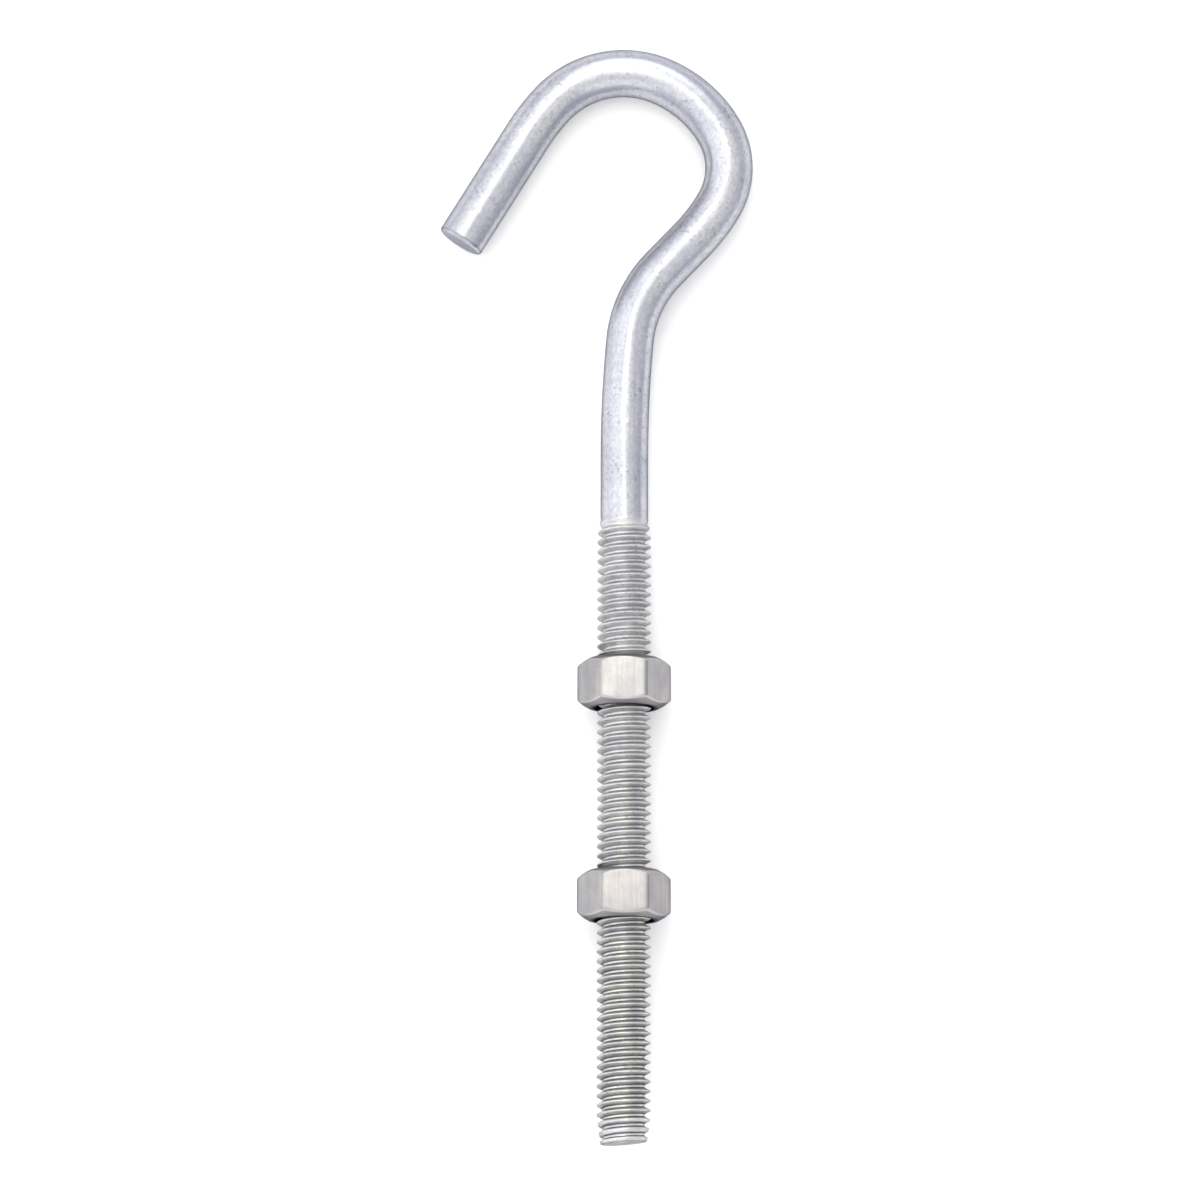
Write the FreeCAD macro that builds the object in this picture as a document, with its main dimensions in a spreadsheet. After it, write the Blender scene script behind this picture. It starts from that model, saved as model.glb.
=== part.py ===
"""Clothesline hook bolt: a bent, rolled-thread rod with two hex nuts that clamp a post between them.

Millimetres. The bolt's axis is Y: the origin is where the plain shank leaves the thread,
the thread runs towards -Y and the hook stands at +Y. The hook lies in the XY plane, +Z is up.
"""
import FreeCAD, Part
import math
import os
import Sketcher
from FreeCAD import Placement, Rotation, Vector

X_AXIS = Vector(1, 0, 0)
Y_AXIS = Vector(0, 1, 0)
Z_AXIS = Vector(0, 0, 1)
ORIGIN = Vector(0, 0, 0)

# Driving dimensions: lengths in mm, angles in degrees. A heading is the rod's direction
# in the hook's plane, counted from +X, at the end of the bend that it names.
SIZES = {
    "thread_pitch": 1.4111,
    "thread_major_radius": 3.96,
    "thread_minor_radius": 3.05,
    "thread_length": 92.6,
    "thread_crest_turn": 196.1,
    "runout_length": 3.5,
    "point_length": 4.0,
    "point_radius": 3.42,
    "end_cut_tilt": 4.0,
    "rod_radius": 3.51,
    "shank_length": 9.0,
    "shank_heading": 90.0,
    "lead_radius": 191.0,
    "lead_heading": 84.8,
    "neck_radius": 18.0,
    "neck_heading": 46.2,
    "throat_length": 5.9,
    "bowl_entry_radius": 29.5,
    "bowl_entry_heading": 59.2,
    "bowl_side_radius": 11.2,
    "bowl_side_heading": 121.2,
    "bowl_shoulder_radius": 18.3,
    "bowl_shoulder_heading": 156.0,
    "bowl_crown_radius": 14.3,
    "bowl_crown_heading": 227.9,
    "leg_bend_radius": 33.0,
    "leg_heading": 238.3,
    "leg_length": 19.0,
    "tip_edge_radius": 0.5,
    "nut_across_flats": 12.0,
    "nut_height": 7.3,
    "nut_corner_radius": 0.45,
    "nut_face_radius": 5.15,
    "nut_chamfer_angle": 30.0,
    "nut_running_clearance": 0.05,
    "nut_countersink_radius": 4.5,
    "front_nut_back_face": 28.6,
    "front_nut_turn": -1.4,
    "clamp_gap": 24.1,
    "rear_nut_turn": 1.8,
}

# The hook's path from the thread to the tip: a straight run has a length,
# a bend has a radius and the heading that it ends on
HOOK_CHAIN = (
    ("shank_length", None),
    ("lead_radius", "lead_heading"),
    ("neck_radius", "neck_heading"),
    ("throat_length", None),
    ("bowl_entry_radius", "bowl_entry_heading"),
    ("bowl_side_radius", "bowl_side_heading"),
    ("bowl_shoulder_radius", "bowl_shoulder_heading"),
    ("bowl_crown_radius", "bowl_crown_heading"),
    ("leg_bend_radius", "leg_heading"),
    ("leg_length", None),
)

# How finely the thread's helical edges are drawn
POINTS_PER_TURN = 8
# How far a cutting profile reaches past the solid that it cuts
OVERCUT = 1.0
# How far the run-out's ridges and the shank's nose reach under each other's surface
SEAT_DEPTH = 0.1
# How far the nose that fills the run-out stays under the thread's root
NOSE_DEPTH = 2 * SEAT_DEPTH
# How far past the free end the cutting profile of the shear reaches
SHEAR_DEPTH = 3 * OVERCUT
# How many turns of ridge are drawn past each end of the thread, before it is trimmed
SPARE_TURNS = 2
# A nut's sides, and the angles in degrees of a whole turn and of a quarter turn
SIDE_COUNT = 6
FULL_ANGLE = 360
QUARTER_ANGLE = 90

doc = FreeCAD.newDocument("ClotheslineHookBolt")
sheet = doc.addObject("Spreadsheet::Sheet", "sizes")
for row, (alias, value) in enumerate(SIZES.items(), start=1):
    sheet.set(f"A{row}", alias)
    sheet.set(f"B{row}", str(value))
    sheet.setAlias(f"B{row}", alias)
doc.recompute()


def size(alias):
    """The value that the sheet holds for an alias."""
    return float(sheet.get(alias))


def flat_sketch(body, name, role):
    """An empty sketch on one of the body's own origin planes."""
    plane = next(feature for feature in body.Origin.OriginFeatures if feature.Role == role)
    sketch = body.newObject("Sketcher::SketchObject", name)
    sketch.AttachmentSupport = (plane, [""])
    sketch.MapMode = "FlatFace"
    return sketch


def hold(sketch, kind, *where, value, to):
    """Add a dimension to a sketch and bind it to an expression of the sheet's sizes."""
    index = sketch.addConstraint(Sketcher.Constraint(kind, *where, value))
    sketch.setExpression(f"Constraints[{index}]", to)


def outline(sketch, corners):
    """A closed outline of straight lines; each corner is (x, y, x's expression, y's expression).

    A corner whose expression is None lies on that axis of the sketch.
    """
    points = [Vector(x, y, 0) for x, y, _, _ in corners]
    count = len(points)
    for index in range(count):
        sketch.addGeometry(Part.LineSegment(points[index], points[(index + 1) % count]), False)
    for index, (x, y, x_bound, y_bound) in enumerate(corners):
        sketch.addConstraint(Sketcher.Constraint("Coincident", index, 2, (index + 1) % count, 1))
        if x_bound is None:
            sketch.addConstraint(Sketcher.Constraint("PointOnObject", index, 1, -2))
        else:
            hold(sketch, "DistanceX", -1, 1, index, 1, value=x, to=x_bound)
        if y_bound is None:
            sketch.addConstraint(Sketcher.Constraint("PointOnObject", index, 1, -1))
        else:
            hold(sketch, "DistanceY", -1, 1, index, 1, value=y, to=y_bound)


def spin(body, kind, name, sketch):
    """Turn a half outline about the bolt's axis: a Revolution adds metal, a Groove takes it away."""
    feature = body.newObject(f"PartDesign::{kind}", name)
    feature.Profile = sketch
    feature.ReferenceAxis = (sketch, ["V_Axis"])
    feature.Angle = FULL_ANGLE
    return feature


def next_place(place, heading, length_name, heading_name):
    """Follow one step of the hook's chain: returns (centre, middle, end, new heading)."""
    length = size(length_name)
    aim = math.radians(heading)
    if heading_name is None:
        end = place + Vector(math.cos(aim), math.sin(aim), 0) * length
        return None, (place + end) / 2, end, heading
    turn = size(heading_name) - heading
    centre = place + Vector(-math.sin(aim), math.cos(aim), 0) * math.copysign(length, turn)
    middle = centre + Rotation(Z_AXIS, turn / 2).multVec(place - centre)
    end = centre + Rotation(Z_AXIS, turn).multVec(place - centre)
    return centre, middle, end, heading + turn


def draw_hook_path(sketch):
    """Draw the chain with its lengths, radii and headings bound; returns the tip's place.

    Neighbours meet in a tangent. Each bend has a construction spoke from its centre to its end,
    square to the rod there, and the spoke's angle holds the heading. Arcs run anticlockwise, so a
    bend to the right starts at the arc's second point.
    """
    place = ORIGIN
    heading = size("shank_heading")
    before = None
    for length_name, heading_name in HOOK_CHAIN:
        centre, middle, end, new_heading = next_place(place, heading, length_name, heading_name)
        goes_left = new_heading >= heading
        start_point, end_point = (1, 2) if goes_left else (2, 1)
        if heading_name is None:
            piece = sketch.addGeometry(Part.LineSegment(place, end), False)
            hold(sketch, "Distance", piece, value=size(length_name), to=f"sizes.{length_name}")
        else:
            quarter = QUARTER_ANGLE if goes_left else -QUARTER_ANGLE
            piece = sketch.addGeometry(Part.Arc(place, middle, end), False)
            hold(sketch, "Radius", piece, value=size(length_name), to=f"sizes.{length_name}")
            spoke = sketch.addGeometry(Part.LineSegment(centre, end), True)
            sketch.addConstraint(Sketcher.Constraint("Coincident", spoke, 1, piece, 3))
            sketch.addConstraint(Sketcher.Constraint("Coincident", spoke, 2, piece, end_point))
            hold(sketch, "Angle", spoke, value=math.radians(new_heading - quarter),
                 to=f"(sizes.{heading_name} - ({quarter})) * 1 deg")
        if before is None:
            sketch.addConstraint(Sketcher.Constraint("Coincident", piece, start_point, -1, 1))
            hold(sketch, "Angle", piece, value=math.radians(heading), to="sizes.shank_heading * 1 deg")
        else:
            sketch.addConstraint(Sketcher.Constraint("Tangent", *before, piece, start_point))
        before = (piece, end_point)
        place, heading = end, new_heading
    return place


def make_bent_rod():
    """The plain part of the bolt: one drawn rod swept along shank, neck, bowl and leg."""
    body = doc.addObject("PartDesign::Body", "bent_rod")
    path = flat_sketch(body, "hook_path", "XY_Plane")
    tip = draw_hook_path(path)
    section = flat_sketch(body, "rod_section", "XZ_Plane")
    circle = section.addGeometry(Part.Circle(ORIGIN, Z_AXIS, size("rod_radius")), False)
    section.addConstraint(Sketcher.Constraint("Coincident", circle, 3, -1, 1))
    hold(section, "Radius", circle, value=size("rod_radius"), to="sizes.rod_radius")
    doc.recompute()
    rod = body.newObject("PartDesign::AdditivePipe", "rod")
    rod.Profile = section
    rod.Spine = path
    doc.recompute()

    nose_sketch = flat_sketch(body, "nose_profile", "XY_Plane")
    radius = size("rod_radius")
    nose_radius = size("thread_minor_radius") - NOSE_DEPTH
    outline(nose_sketch, (
        (0, 0, None, None),
        (radius, 0, "sizes.rod_radius", None),
        (nose_radius, -size("runout_length"),
         f"sizes.thread_minor_radius - {NOSE_DEPTH}", "-sizes.runout_length"),
        (0, -size("runout_length"), None, "-sizes.runout_length"),
    ))
    nose = spin(body, "Revolution", "nose", nose_sketch)
    doc.recompute()

    distances = [(edge.CenterOfMass - tip).Length for edge in nose.Shape.Edges]
    rim = 1 + distances.index(min(distances))
    rounding = body.newObject("PartDesign::Fillet", "tip_rounding")
    rounding.Base = (nose, [f"Edge{rim}"])
    rounding.setExpression("Radius", "sizes.tip_edge_radius")
    doc.recompute()
    return body


def fade(distance, length):
    """0 before the run-out and 1 past it, rising smoothly over its length."""
    share = min(max(distance / length, 0.0), 1.0)
    return 0.5 - 0.5 * math.cos(math.pi * share)


def ridge_edge(full_radius, offset, first_turn, last_turn):
    """One helical edge of the thread, as a spline whose parameter counts turns from the origin.

    It holds full_radius until the run-out, where it sinks to just under the plain rod's surface.
    """
    pitch = size("thread_pitch")
    sunk_radius = size("rod_radius") - SEAT_DEPTH
    points = []
    turns = []
    for step in range((last_turn - first_turn) * POINTS_PER_TURN + 1):
        turn = first_turn + step / POINTS_PER_TURN
        along = turn * pitch + offset
        angle = 2 * math.pi * turn
        share = fade(along + size("runout_length"), size("runout_length"))
        radius = full_radius + (sunk_radius - full_radius) * share
        points.append(Vector(radius * math.sin(angle), along, radius * math.cos(angle)))
        turns.append(turn)
    curve = Part.BSplineCurve()
    curve.interpolate(Points=points, Parameters=turns)
    return curve


def one_turn(curve, turn):
    """The stretch of a helical edge that makes one turn."""
    stretch = curve.copy()
    stretch.segment(float(turn), float(turn + 1))
    return stretch.toShape()


def closing_faces(root, crest, turn):
    """The two faces that close the ridge's end: a flat step beside the axis and a spiral floor."""
    corners = [root.value(float(turn)), crest.value(float(turn)), root.value(float(turn + 1))]
    on_axis = [Vector(0, corner.y, 0) for corner in (corners[0], corners[2])]
    step = Part.Face(Part.makePolygon([on_axis[0], *corners, on_axis[1], on_axis[0]]))
    axis_run = Part.LineSegment(on_axis[0], on_axis[1]).toShape()
    floor = Part.makeRuledSurface(axis_run, one_turn(root, turn))
    return [step, floor]


def make_thread_ridge():
    """The rolled ridge and the core under it: two flanks a turn, between helical crest and root edges.

    The flanks meet in sharp crests and roots at the real thread's outer and inner radius.
    """
    pitch = size("thread_pitch")
    first_turn = -math.ceil(size("thread_length") / pitch) - SPARE_TURNS
    last_turn = 1
    root = ridge_edge(size("thread_minor_radius"), -pitch / 2, first_turn, last_turn + 1)
    crest = ridge_edge(size("thread_major_radius"), 0, first_turn, last_turn + 1)
    faces = []
    for turn in range(first_turn, last_turn):
        crest_turn = one_turn(crest, turn)
        faces.append(Part.makeRuledSurface(one_turn(root, turn), crest_turn))
        faces.append(Part.makeRuledSurface(crest_turn, one_turn(root, turn + 1)))
    faces += closing_faces(root, crest, first_turn)
    faces += closing_faces(root, crest, last_turn)
    shell = Part.Shell(faces)
    shell.sewShape()
    solid = Part.Solid(shell)
    if solid.Volume < 0:
        solid.reverse()
    ridge = doc.addObject("Part::Feature", "thread_ridge")
    ridge.Shape = solid
    ridge.Placement = Placement(ORIGIN, Rotation(Y_AXIS, size("thread_crest_turn")))
    return ridge


def make_thread_envelope():
    """What the thread is trimmed to: a pointed round bar whose sheared end is a little out of square."""
    body = doc.addObject("PartDesign::Body", "thread_envelope")
    profile = flat_sketch(body, "pointed_bar", "XY_Plane")
    length = size("thread_length")
    wide = size("thread_major_radius") + OVERCUT
    rise = size("thread_major_radius") - size("point_radius")
    slope = rise / size("point_length")
    past_start = SPARE_TURNS * size("thread_pitch")
    wide_words = f"sizes.thread_major_radius + {OVERCUT}"
    slope_words = "(sizes.thread_major_radius - sizes.point_radius) / sizes.point_length"
    thin_words = f"sizes.point_radius - {OVERCUT} * {slope_words}"
    below_words = f"-sizes.thread_length - {OVERCUT}"
    shoulder_words = f"-sizes.thread_length + ({wide_words} - sizes.point_radius) / ({slope_words})"
    past_start_words = f"{SPARE_TURNS} * sizes.thread_pitch"
    outline(profile, (
        (0, -length - OVERCUT, None, below_words),
        (size("point_radius") - OVERCUT * slope, -length - OVERCUT, thin_words, below_words),
        (wide, -length + (wide - size("point_radius")) / slope, wide_words, shoulder_words),
        (wide, past_start, wide_words, past_start_words),
        (0, past_start, None, past_start_words),
    ))
    bar = spin(body, "Revolution", "pointed_bar_turned", profile)
    doc.recompute()
    uncut = bar.Shape.Volume

    shear_line = flat_sketch(body, "sheared_end", "XY_Plane")
    lift = wide * math.tan(math.radians(size("end_cut_tilt")))
    lift_words = f"({wide_words}) * tan(sizes.end_cut_tilt * 1 deg)"
    left_words = f"-({wide_words})"
    floor_words = f"-sizes.thread_length - {SHEAR_DEPTH}"
    outline(shear_line, (
        (-wide, -length - lift, left_words, f"-sizes.thread_length - {lift_words}"),
        (wide, -length + lift, wide_words, f"-sizes.thread_length + {lift_words}"),
        (wide, -length - SHEAR_DEPTH, wide_words, floor_words),
        (-wide, -length - SHEAR_DEPTH, left_words, floor_words),
    ))
    shear = body.newObject("PartDesign::Pocket", "shear")
    shear.Profile = shear_line
    shear.Type = "ThroughAll"
    shear.Midplane = True
    doc.recompute()
    if shear.Shape.Volume >= uncut:
        raise RuntimeError("the sheared end took nothing off the bar")
    return body


def make_hook_bolt():
    """The whole bolt in one solid: the thread trimmed to its pointed bar, fused with the bent rod."""
    trimmed = doc.addObject("Part::Common", "trimmed_thread")
    trimmed.Base = make_thread_ridge()
    trimmed.Tool = make_thread_envelope()
    bolt = doc.addObject("Part::Fuse", "hook_bolt")
    bolt.Base = trimmed
    bolt.Tool = make_bent_rod()
    bolt.Label = "hook_bolt"
    return bolt


def make_nut(name, back_face, turn):
    """A double-chamfered hex nut with a countersunk bore, standing on the thread.

    back_face says how far its face away from the hook is from the origin, turn how it is turned.
    """
    body = doc.addObject("PartDesign::Body", name)
    body.Label = name
    height = size("nut_height")
    hexagon = flat_sketch(body, f"{name}_hexagon", "XZ_Plane")
    half_side = FULL_ANGLE / SIDE_COUNT / 2
    corner_radius = size("nut_across_flats") / 2 / math.cos(math.radians(half_side))
    corners = [Rotation(Z_AXIS, 2 * half_side * index).multVec(X_AXIS) * corner_radius
               for index in range(SIDE_COUNT)]
    for index in range(SIDE_COUNT):
        hexagon.addGeometry(Part.LineSegment(corners[index], corners[(index + 1) % SIDE_COUNT]), False)
    ring = hexagon.addGeometry(Part.Circle(ORIGIN, Z_AXIS, corner_radius), True)
    hexagon.addConstraint(Sketcher.Constraint("Coincident", ring, 3, -1, 1))
    for index in range(SIDE_COUNT):
        hexagon.addConstraint(Sketcher.Constraint("Coincident", index, 2, (index + 1) % SIDE_COUNT, 1))
        hexagon.addConstraint(Sketcher.Constraint("PointOnObject", index, 1, ring))
        if index:
            hexagon.addConstraint(Sketcher.Constraint("Equal", 0, index))
    hexagon.addConstraint(Sketcher.Constraint("PointOnObject", 0, 1, -1))
    hold(hexagon, "Radius", ring, value=corner_radius,
         to=f"sizes.nut_across_flats / 2 / cos({half_side} deg)")
    blank = body.newObject("PartDesign::Pad", f"{name}_blank")
    blank.Profile = hexagon
    blank.setExpression("Length", "sizes.nut_height")
    blank.Reversed = True
    doc.recompute()

    long_edges = [f"Edge{index}" for index, edge in enumerate(blank.Shape.Edges, start=1)
                  if edge.BoundBox.YLength > height / 2]
    worn_corners = body.newObject("PartDesign::Fillet", f"{name}_corners")
    worn_corners.Base = (blank, long_edges)
    worn_corners.setExpression("Radius", "sizes.nut_corner_radius")
    doc.recompute()

    # The chamfers: a cone at each end, cut by a triangle that turns about the axis
    fall = f"(sizes.nut_across_flats - sizes.nut_face_radius) * tan(sizes.nut_chamfer_angle * 1 deg)"
    face = size("nut_face_radius")
    wide = size("nut_across_flats")
    drop = (wide - face) * math.tan(math.radians(size("nut_chamfer_angle")))
    for end, at, inward in (("back", 0, 1), ("front", height, -1)):
        cone = flat_sketch(body, f"{name}_{end}_cone", "XY_Plane")
        base = "0" if at == 0 else "sizes.nut_height"
        outline(cone, (
            (face, at, "sizes.nut_face_radius", None if at == 0 else base),
            (wide, at + inward * drop, "sizes.nut_across_flats", f"{base} + ({inward}) * {fall}"),
            (wide, at - inward * OVERCUT, "sizes.nut_across_flats", f"{base} - ({inward}) * {OVERCUT}"),
            (face, at - inward * OVERCUT, "sizes.nut_face_radius", f"{base} - ({inward}) * {OVERCUT}"),
        ))
        spin(body, "Groove", f"{name}_{end}_chamfer", cone)
        doc.recompute()

    # The bore clears the thread's crests, and opens in a countersink at each face
    bore_radius = size("thread_major_radius") + size("nut_running_clearance")
    sink = size("nut_countersink_radius")
    depth = sink - bore_radius
    bore = "sizes.thread_major_radius + sizes.nut_running_clearance"
    deep = f"(sizes.nut_countersink_radius - ({bore}))"
    bore_profile = flat_sketch(body, f"{name}_bore_profile", "XY_Plane")
    outline(bore_profile, (
        (0, 0, None, None),
        (sink, 0, "sizes.nut_countersink_radius", None),
        (bore_radius, depth, bore, deep),
        (bore_radius, height - depth, bore, f"sizes.nut_height - {deep}"),
        (sink, height, "sizes.nut_countersink_radius", "sizes.nut_height"),
        (0, height, None, "sizes.nut_height"),
    ))
    spin(body, "Groove", f"{name}_bore", bore_profile)
    doc.recompute()
    body.setExpression(".Placement.Base.y", back_face)
    body.setExpression(".Placement.Rotation.Angle", f"({turn}) * 1 deg")
    body.Placement = Placement(ORIGIN, Rotation(Y_AXIS, 1))
    return body


SUB_PARTS = (
    make_hook_bolt(),
    make_nut("front_nut", "-sizes.front_nut_back_face", "sizes.front_nut_turn"),
    make_nut("rear_nut", "-sizes.front_nut_back_face - sizes.clamp_gap - sizes.nut_height",
             "sizes.rear_nut_turn"),
)
doc.recompute()

for item in doc.Objects:
    if {"Invalid", "Error"} & set(item.State):
        raise RuntimeError(f"{item.Name} did not build: {item.State}")

os.makedirs("parts", exist_ok=True)
for sub_part in SUB_PARTS:
    shape = sub_part.Shape
    if shape.isNull() or not shape.isValid() or len(shape.Solids) != 1:
        raise RuntimeError(f"{sub_part.Label} is not one valid solid")
    shape.exportStep(f"parts/{sub_part.Label}.step")
    box = shape.BoundBox
    print(f"{sub_part.Label}: {shape.Volume:.1f} mm3, x {box.XMin:.2f} to {box.XMax:.2f}, "
          f"y {box.YMin:.2f} to {box.YMax:.2f}, z {box.ZMin:.2f} to {box.ZMax:.2f}")
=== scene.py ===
# %% [markdown]
# # A clothesline hook bolt
# A steel rod, rolled with a coarse thread over a good half of its length and bent cold into an open
# hook. Two hex nuts run on the thread: the post that carries the clothesline is clamped between them.
# Everything is zinc plated. This lesson builds its visible surfaces with numpy and gives them
# procedural zinc finishes.

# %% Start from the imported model
import math
import bmesh
import bpy
import numpy as np
from mathutils import Matrix, Vector


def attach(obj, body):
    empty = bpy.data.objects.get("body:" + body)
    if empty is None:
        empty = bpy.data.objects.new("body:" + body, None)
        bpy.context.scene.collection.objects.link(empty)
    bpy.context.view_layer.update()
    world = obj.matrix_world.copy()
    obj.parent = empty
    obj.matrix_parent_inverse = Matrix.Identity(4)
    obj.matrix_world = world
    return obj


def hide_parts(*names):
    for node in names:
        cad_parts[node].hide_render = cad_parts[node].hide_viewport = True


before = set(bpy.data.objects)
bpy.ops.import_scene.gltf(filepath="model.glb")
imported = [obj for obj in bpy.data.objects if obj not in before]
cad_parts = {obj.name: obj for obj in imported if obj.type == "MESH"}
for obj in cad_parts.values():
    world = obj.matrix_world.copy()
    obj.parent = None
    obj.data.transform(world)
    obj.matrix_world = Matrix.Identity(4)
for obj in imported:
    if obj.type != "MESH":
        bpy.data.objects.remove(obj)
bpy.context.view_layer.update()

# %% [markdown]
# ## The camera
# The bolt lies on its side, so the camera looks down on it, leaning a little towards the free end of
# the thread. A short lens close by would make the near parts look swollen. A long lens from far away
# keeps the two edges of the rod almost parallel, as in a catalogue picture.

# %% Camera
MM = 0.001
AIM = Vector((-3.56 * MM, -12.5 * MM, 0.0))
CAMERA_DISTANCE = 1.4
CAMERA_LEAN = math.radians(9.7)
CAMERA_ROLL = math.radians(0.1)
SENSOR_WIDTH = 36.0
IMAGE_WIDTH = 1200
PIXELS_PER_MM = 6.806

lens_camera = bpy.data.cameras.new("camera")
lens_camera.sensor_width = SENSOR_WIDTH
lens_camera.lens = (CAMERA_DISTANCE / MM) * PIXELS_PER_MM / IMAGE_WIDTH * SENSOR_WIDTH
lens_camera.clip_start = 0.1
lens_camera.clip_end = 20.0
camera = bpy.data.objects.new("camera", lens_camera)
bpy.context.scene.collection.objects.link(camera)
back = Vector((0.0, -math.sin(CAMERA_LEAN), math.cos(CAMERA_LEAN)))
camera.location = AIM + back * CAMERA_DISTANCE
lean = Matrix.Rotation(CAMERA_LEAN, 3, "X")
roll = Matrix.Rotation(CAMERA_ROLL, 3, "Z")
camera.rotation_euler = (lean @ roll).to_euler()
bpy.context.scene.camera = camera
print(f"lens {lens_camera.lens:.1f} mm, camera {camera.location.length:.2f} m from the origin")

# %% [markdown]
# ## Meshes from arrays
# Each surface below is a grid of points: rows along the rod or across a profile, columns around the
# axis. The faces could be made one by one in a loop, but a thread needs a hundred thousand of them.
# Whole arrays do it in one step: the corners of every quad are the row and column numbers, shifted.

# %% Grid of faces
def grid_faces(rows, columns, closed):
    """Quads between neighbouring rows and columns; closed joins the last column to the first.

    The point in a row and a column has the number row * columns + column.
    """
    across = columns if closed else columns - 1
    row, column = np.meshgrid(np.arange(rows - 1), np.arange(across), indexing="ij")
    following = (column + 1) % columns
    quads = np.stack((row * columns + column, row * columns + following,
                      (row + 1) * columns + following, (row + 1) * columns + column), axis=-1)
    return quads.reshape(-1, 4)


print("a grid of 3 rows and 4 columns, closed, has", len(grid_faces(3, 4, closed=True)), "faces")

# %% [markdown]
# ## A mesh that remembers the straight rod
# The rod was drawn straight and bent later, so its draw lines and specks follow the bend. Each mesh
# therefore keeps, as an attribute, where its points lay before the bend, and the finishes read that
# place instead of the bent one.

# %% Meshes and pieces
def new_mesh(name, points, quads, unbent):
    """A mesh from an (n, 3) array in millimetres and an (m, 4) array of corners.

    unbent holds where each point lay before the rod was bent, also in millimetres.
    """
    mesh = bpy.data.meshes.new(name)
    mesh.vertices.add(len(points))
    mesh.vertices.foreach_set("co", (points * MM).astype(np.float32).ravel())
    mesh.loops.add(quads.size)
    mesh.loops.foreach_set("vertex_index", quads.astype(np.int32).ravel())
    mesh.polygons.add(len(quads))
    mesh.polygons.foreach_set("loop_start", np.arange(0, quads.size, 4, dtype=np.int32))
    mesh.update(calc_edges=True)
    mesh.validate()
    place = mesh.attributes.new("unbent", "FLOAT_VECTOR", "POINT")
    place.data.foreach_set("vector", (unbent * MM).astype(np.float32).ravel())
    return mesh


def new_piece(name, mesh):
    """An object at the origin, unturned and unscaled, that shows a mesh."""
    piece = bpy.data.objects.new(name, mesh)
    bpy.context.scene.collection.objects.link(piece)
    print("piece", name, "with", len(mesh.polygons), "faces")
    return piece


# %% [markdown]
# ## The thread's profile
# The thread is rolled, not cut: dies press the roots in and the metal rises into the crests, so both
# are rounded. A V could be drawn point by point, but a formula gives it at any fineness: a triangle
# wave, clipped flat at the root and the crest, with its corners eased.

# %% Thread profile
ROOT_PHASE = 0.80
FLANK_SPAN = 0.71
STRAIGHT_SHARE = 0.72


def thread_form(phase):
    """How high the ridge stands, 0 at the root to 1 at the crest, for a phase counted in pitches.

    A triangle wave (one flank up, one down) is steepened and clipped flat at top and bottom. Its
    corners are rounded by mixing in a smooth step, three times its square less twice its cube.
    """
    triangle = np.abs(((phase + 0.5) % 1.0) - 0.5) * 2.0
    flank = np.clip((ROOT_PHASE - triangle) / FLANK_SPAN, 0.0, 1.0)
    return flank * STRAIGHT_SHARE + (1.0 - STRAIGHT_SHARE) * flank * flank * (3.0 - 2.0 * flank)


print("ridge over one pitch:", np.round(thread_form(np.linspace(0.0, 1.0, 9)), 2))

# %% [markdown]
# ## The bolt's radius
# Crests stand higher than the plain rod and roots lie lower, because rolling moves metal and removes
# none. Near the shank the dies let go and the ridge fades out, and the free end is pointed so that a
# nut starts easily. One function gives the radius anywhere, and the nuts' own threads use it too.

# %% Radius at an angle and a distance
PITCH = 1.4111
CREST_RADIUS = 3.96
ROOT_RADIUS = 3.05
ROD_RADIUS = 3.51
CREST_TURN = math.radians(196.1)
THREAD_END = -92.6
RUNOUT = 3.5
POINT_LENGTH = 4.0
POINT_RADIUS = 3.42


def bolt_radius(angle, along):
    """Radius of the bolt in mm at an angle about its axis and a distance along it.

    A helix is a phase that grows with distance along the axis and falls with the angle. The ridge
    fades into the plain rod by half a cosine wave over the run-out, and no point stands out further
    than the cone at the free end.
    """
    phase = along / PITCH - (angle - CREST_TURN) / (2.0 * np.pi)
    fade = np.clip((along + RUNOUT) / RUNOUT, 0.0, 1.0)
    fade = 0.5 - 0.5 * np.cos(np.pi * fade)
    threaded = ROOT_RADIUS + (CREST_RADIUS - ROOT_RADIUS) * thread_form(phase)
    radius = threaded + (ROD_RADIUS - threaded) * fade
    taper = (along - THREAD_END) / POINT_LENGTH
    pointed = POINT_RADIUS + (CREST_RADIUS - POINT_RADIUS) * np.clip(taper, 0.0, 1.0)
    return np.minimum(radius, pointed)


one_pitch = bolt_radius(0.0, np.linspace(-20.0 - PITCH, -20.0, 200))
print(f"radius over one pitch: {one_pitch.min():.2f} to {one_pitch.max():.2f} mm")

# %% [markdown]
# ## The rod's path
# The hook was bent cold round pins of a few sizes, so its centre line is a chain of straight runs and
# arcs that meet in tangents. A free curve would need its points placed by eye. The chain is given as
# length or radius and angle turned, as a bender would set it; numpy adds up the headings, and the
# running sum of the steps gives the places.

# %% Hook path
# Each step: radius of the bend in mm (0 for a straight run), degrees turned (left is positive), length
HOOK_STEPS = np.array((
    (0.0, 0.0, 9.0),
    (191.0, -5.2, 0.0),
    (18.0, -38.6, 0.0),
    (0.0, 0.0, 5.9),
    (29.5, 13.0, 0.0),
    (11.2, 62.0, 0.0),
    (18.3, 34.8, 0.0),
    (14.3, 71.9, 0.0),
    (33.0, 10.4, 0.0),
    (0.0, 0.0, 19.0),
))
SAMPLE = 0.02
STRAIGHT_ON = math.pi / 2

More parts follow.
